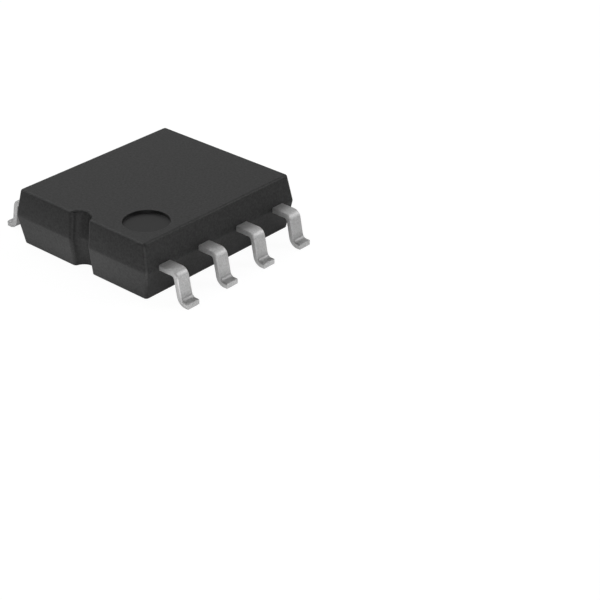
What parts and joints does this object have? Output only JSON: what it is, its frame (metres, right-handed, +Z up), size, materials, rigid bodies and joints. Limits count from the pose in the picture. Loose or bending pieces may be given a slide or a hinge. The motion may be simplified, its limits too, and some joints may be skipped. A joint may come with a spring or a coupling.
{
  "type": "analog switch chip",
  "caption": "Analog switch chip in a moulded small-outline package with gull-wing leads, a notched end and a round index recess.",
  "frame": {"origin": "centre of the plane that the eight feet stand on, below the middle of the body", "axes": "+X across the package towards leads 1 to 4, +Y along it away from the notched end, +Z up from the board"},
  "size_m": [0.0062, 0.005, 0.0014],
  "materials": {
    "mould_compound": "fine matte texture of a spark-eroded mould",
    "tinned_lead": "matte tin plate on copper alloy strip",
    "plated_frame": "satin silver plate on copper alloy strip",
    "die_adhesive": "cured silver-filled epoxy",
    "silicon": "polished silicon under a clear passivation layer",
    "gold_wire": "drawn gold wire"
  },
  "bodies": {
    "root": {"mould_body": "mould_compound", "lead_1": "tinned_lead", "lead_2": "tinned_lead", "lead_3": "tinned_lead", "lead_4": "tinned_lead", "lead_5": "tinned_lead", "lead_6": "tinned_lead", "lead_7": "tinned_lead", "lead_8": "tinned_lead", "die_paddle": "plated_frame", "die_attach": "die_adhesive", "switch_die": "silicon", "bond_wire_1": "gold_wire", "bond_wire_2": "gold_wire", "bond_wire_3": "gold_wire", "bond_wire_4": "gold_wire", "bond_wire_5": "gold_wire", "bond_wire_6": "gold_wire", "bond_wire_7": "gold_wire", "bond_wire_8": "gold_wire"}
  },
  "joints": []
}
